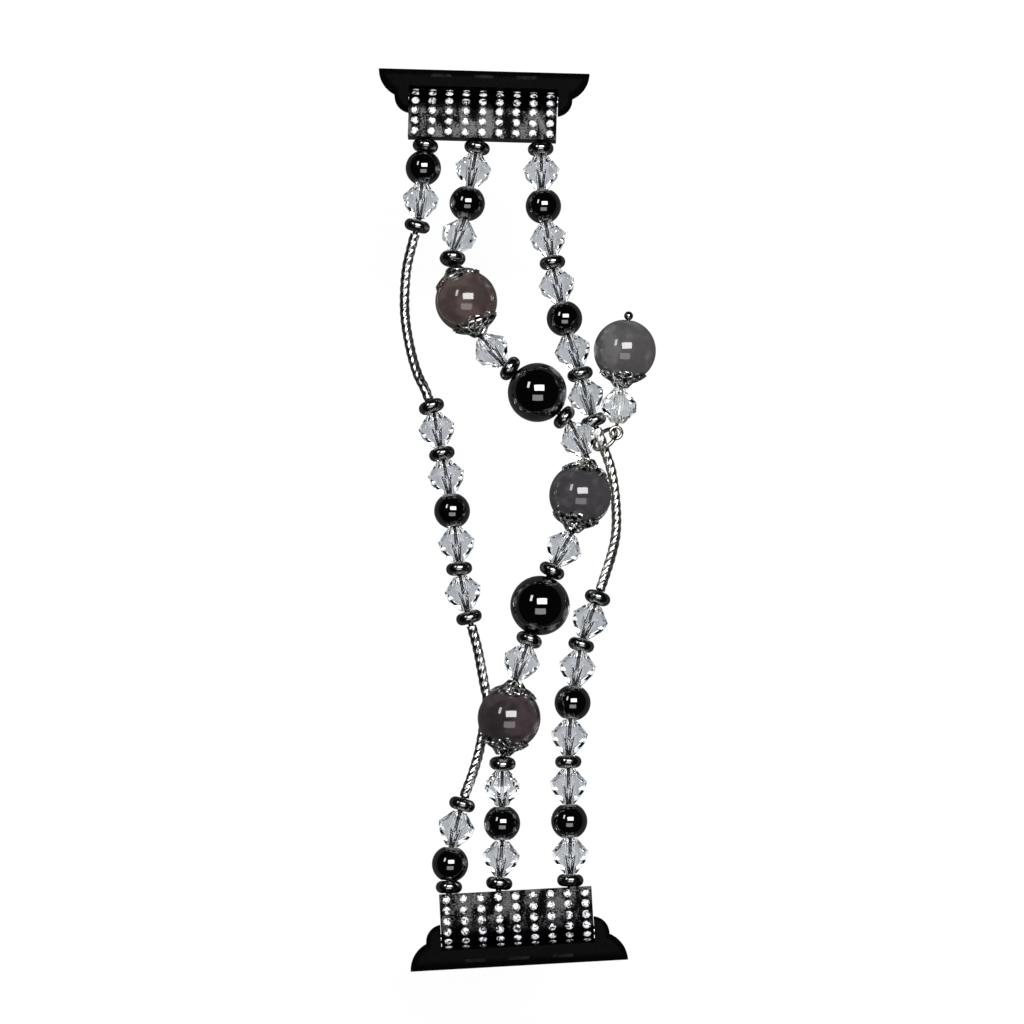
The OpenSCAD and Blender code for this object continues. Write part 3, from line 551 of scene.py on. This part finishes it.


# Elastic cords: cut between the joints, so that each part crosses one joint, with extra loops
# where it crosses
CHAIN = ["plate_bottom", "stretch_5", "stretch_4", "stretch_3", "stretch_2", "stretch_1",
         "plate_top"]
SIDES = ("left", "middle", "right")
NOT_ON_CORD = ("elastic", "charm", "end_plate", "stones", "bead_caps")
PATH_BINS = 60
BEND_HALF, BEND_LOOPS = 0.5 * MM, 10  # half the length of cord that bends, and its loops
INSIDE, OUTSIDE = BEND_HALF * 1.8, BEND_HALF * 0.2  # at a plate it bends mostly inside the bead


def path_of(points):
    """Middle of a cord at even steps of y, with the empty steps left out."""
    lo, hi = min(p.y for p in points), max(p.y for p in points)
    groups = {}
    for p in points:
        groups.setdefault(int((p.y - lo) / (hi - lo) * PATH_BINS), []).append(p)
    return [mean(groups[k]) for k in sorted(groups)]


def box_middle(points):
    return Vector([(min(p[i] for p in points) + max(p[i] for p in points)) / 2 for i in range(3)])


cord_paths = {side: path_of(all_points(nodes["elastic_" + side])) for side in SIDES}
parent_of = {joint["child"]: joint["parent"] for joint in joints}
beads = {}  # (side, body of the chain): beads as (middle, points)
for node, body in body_of.items():
    if node.startswith(NOT_ON_CORD):
        continue
    while body not in CHAIN and body in parent_of:
        body = parent_of[body]
    if body not in CHAIN[1:-1] or node not in nodes:
        continue
    for points in islands(nodes[node]):
        middle = box_middle(points)
        near = min(cord_paths, key=lambda side: along(cord_paths[side], middle)[1])
        beads.setdefault((near, body), []).append((middle, points))


def bend_places(side):
    """Where the cord leaves one body of the chain for the next: both bodies, the place, the
    cord's direction there, and how much of it bends before and after the place."""
    places = []
    for low, high in zip(CHAIN, CHAIN[1:]):
        below = max(beads.get((side, low), []), key=lambda bead: bead[0].y, default=None)
        above = min(beads.get((side, high), []), key=lambda bead: bead[0].y, default=None)
        if below and above:
            d = (above[0] - below[0]).normalized()
            reach = (max((p - below[0]).dot(d) for p in below[1])
                     + min((p - below[0]).dot(d) for p in above[1]))
            places.append((low, high, below[0] + d * reach / 2, d, BEND_HALF, BEND_HALF))
        else:
            middle, points = below or above
            joint = next(j for j in joints if {j["parent"], j["child"]} == {low, high})
            d = Vector((0, 0, 1)).cross(Vector(joint["axis"])).normalized()
            d = d if d.y > 0 else -d
            ends = [(p - middle).dot(d) for p in points]
            if below:
                places.append((low, high, middle + d * max(ends), d, INSIDE, OUTSIDE))
            else:
                places.append((low, high, middle + d * min(ends), d, OUTSIDE, INSIDE))
    return places


def slice_at(bm, point, normal, **cleared):
    bmesh.ops.bisect_plane(bm, geom=bm.verts[:] + bm.edges[:] + bm.faces[:], dist=ON_PLANE,
                           plane_co=point, plane_no=normal, **cleared)


def close_holes(bm):
    rims = [e for e in bm.edges if e.is_boundary]
    if rims:
        bmesh.ops.holes_fill(bm, edges=rims, sides=0)


for side in SIDES:
    places = bend_places(side)
    for i, (low, high, at, d, before, after) in enumerate(places):
        bm = welded_copy(nodes["elastic_" + side])
        # each part ends half-way to the bends before and after it
        for other, drop in ((i - 1, "clear_inner"), (i + 1, "clear_outer")):
            if 0 <= other < len(places):
                slice_at(bm, (0, (at.y + places[other][2].y) / 2, 0), (0, 1, 0), **{drop: True})
        close_holes(bm)
        start, end = at - d * before, at + d * after
        for k in range(BEND_LOOPS + 1):
            slice_at(bm, start.lerp(end, k / BEND_LOOPS), d)
        bmesh.ops.recalc_face_normals(bm, faces=bm.faces)
        cord = add_piece(f"cord_{side}_{i + 1}", bm, slots["elastic_" + side], smooth=True)
        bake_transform(cord)
        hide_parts("elastic_" + side)


# Latch springs: copies of the CAD springs, each with a mesh of its own, on their connectors
for end in ("top", "bottom"):
    node = "latch_spring_" + end
    spring = add_piece("leaf_spring_" + end, welded_copy(nodes[node]), slots[node])
    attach(spring, "connector_" + end)
    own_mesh(spring)
    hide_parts(node)


# Floor and world
FLOOR_HALF = 3.0
FLOOR_Z = -60 * MM  # low enough for the ends of the band, which swing down as it closes
FLOOR_CLEAR = 0.88  # how much the camera sees through the floor: only a soft shadow shows
# how the floor looks through the crystals and in mirrored surfaces: darker than its lit tone,
# painted shade in the glass and in reflections
FLOOR_THROUGH_GLASS = (0.42, 0.435, 0.455)
FLOOR_MIRRORED = (0.07, 0.07, 0.072)
PALE_SKY = (0.9, 0.95, 1.0, 1)
SKY_LIGHT, SKY_MIRRORED = 0.35, 0.006  # strength of the sky as light, and where it is mirrored


class Stage(Nodes):
    """An emptied node tree of the floor or the world, whose looks depend on the kind of ray."""

    def __init__(self, owner, output):
        owner.use_nodes = True
        super().__init__(owner.node_tree)
        self.tree.nodes.clear()
        self.ray = self.node("ShaderNodeLightPath").outputs
        self.surface = self.node(output).inputs["Surface"]

    def multiply(self, colour, factor, by):
        # sockets 6 and 7 and output 2 of a mix are its colours
        n = self.node("ShaderNodeMix", data_type="RGBA", blend_type="MULTIPLY")
        for socket, value in ((0, factor), (6, colour), (7, (*by, 1))):
            self.put(n.inputs[socket], value)
        return n.outputs[2]

    def mix(self, factor, first, second):
        return self.add("ShaderNodeMixShader", factor, first, second)


bm = bmesh.new()
bm.faces.new([bm.verts.new((x * FLOOR_HALF, y * FLOOR_HALF, FLOOR_Z))
              for x, y in ((-1, -1), (1, -1), (1, 1), (-1, 1))])
floor = add_object("floor", to_mesh("floor", bm))
floor_white = bpy.data.materials.new("floor_white")
ground = Stage(floor_white, "ShaderNodeOutputMaterial")
tone = ground.ramp(ground.noise_at(None, 40, 2), (0.0, grey(0.86)), (1.0, grey(0.9)))
# a ray through a clear piece counts as glossy too, so only the others are mirrored ones
through_ray, glossy_ray = ground.ray["Is Transmission Ray"], ground.ray["Is Glossy Ray"]
mirrored_ray = ground.calc("GREATER_THAN", glossy_ray, through_ray)
# painted shade: the floor is darker through the crystals and in reflections than it is lit
tone = ground.multiply(tone, through_ray, FLOOR_THROUGH_GLASS)
tone = ground.multiply(tone, mirrored_ray, FLOOR_MIRRORED)
clear = ground.calc("MULTIPLY", ground.ray["Is Camera Ray"], FLOOR_CLEAR)
ground.put(ground.surface, ground.mix(clear, ground.add("ShaderNodeBsdfDiffuse", tone),
                                      ground.add("ShaderNodeBsdfTransparent")))
floor.data.materials.append(floor_white)

world = bpy.data.worlds.new("studio")
bpy.context.scene.world = world
sky = Stage(world, "ShaderNodeOutputWorld")
seen = sky.add("ShaderNodeBackground", (1, 1, 1, 1), 1.0)
lighting = sky.add("ShaderNodeBackground", PALE_SKY, SKY_LIGHT)
mirrored = sky.add("ShaderNodeBackground", PALE_SKY, SKY_MIRRORED)
seen_ray = sky.calc("MAXIMUM", sky.ray["Is Camera Ray"], sky.ray["Is Transmission Ray"])
sky.put(sky.surface, sky.mix(seen_ray, sky.mix(sky.ray["Is Glossy Ray"], lighting, mirrored),
                             seen))


# Camera and lamps

# The photo's camera: almost overhead, a little towards the lower end of the band
TILT, PAN, ROLL = math.radians(7.29), math.radians(0.16), math.radians(0.19)
DISTANCE = 583.5 * MM
SENSOR = 36
FOCAL = 3543.2 / 1024  # in widths of the picture
TARGET = Vector((-0.51, 0.39, 0)) * MM
BACK = Vector((math.sin(PAN), -math.sin(TILT) * math.cos(PAN), math.cos(TILT) * math.cos(PAN)))
level = Vector((math.cos(PAN), math.sin(TILT) * math.sin(PAN),
                -math.cos(TILT) * math.sin(PAN))).normalized()
upward = BACK.cross(level)
RIGHT = level * math.cos(ROLL) + upward * math.sin(ROLL)
UP = upward * math.cos(ROLL) - level * math.sin(ROLL)
VIEW = Matrix((RIGHT, UP, BACK)).transposed()
LAMP_DISTANCE = 1.6


def softbox(name, direction, wide, high, radiance):
    """A rectangular lamp, so many degrees wide and high, in a direction given as seen from the
    camera: right, up, towards it."""
    d = (VIEW @ Vector(direction)).normalized()
    light = bpy.data.lights.new(name, "AREA")
    light.shape = "RECTANGLE"
    light.size = 2 * LAMP_DISTANCE * math.tan(math.radians(wide / 2))
    light.size_y = 2 * LAMP_DISTANCE * math.tan(math.radians(high / 2))
    light.energy = radiance * math.pi * light.size * light.size_y
    lamp = add_object(name, light)
    x = UP.cross(d).normalized()
    lamp.matrix_world = Matrix((x, d.cross(x), d)).transposed().to_4x4()
    lamp.matrix_world.translation = d * LAMP_DISTANCE


softbox("key", (0.132, 0.302, 0.944), wide=38, high=23, radiance=11)
softbox("fill", (0.026, -0.373, 0.928), wide=40, high=23, radiance=2.0)
softbox("streak", (-0.535, 0.472, 0.700), wide=9, high=22, radiance=7)

camera = add_object("camera", bpy.data.cameras.new("camera"))
camera.data.sensor_width = SENSOR
camera.data.lens = SENSOR * FOCAL
camera.data.clip_end = 10
camera.matrix_world = VIEW.to_4x4()
camera.matrix_world.translation = TARGET + BACK * DISTANCE
bpy.context.scene.camera = camera
bpy.context.scene.view_settings.view_transform = "Standard"
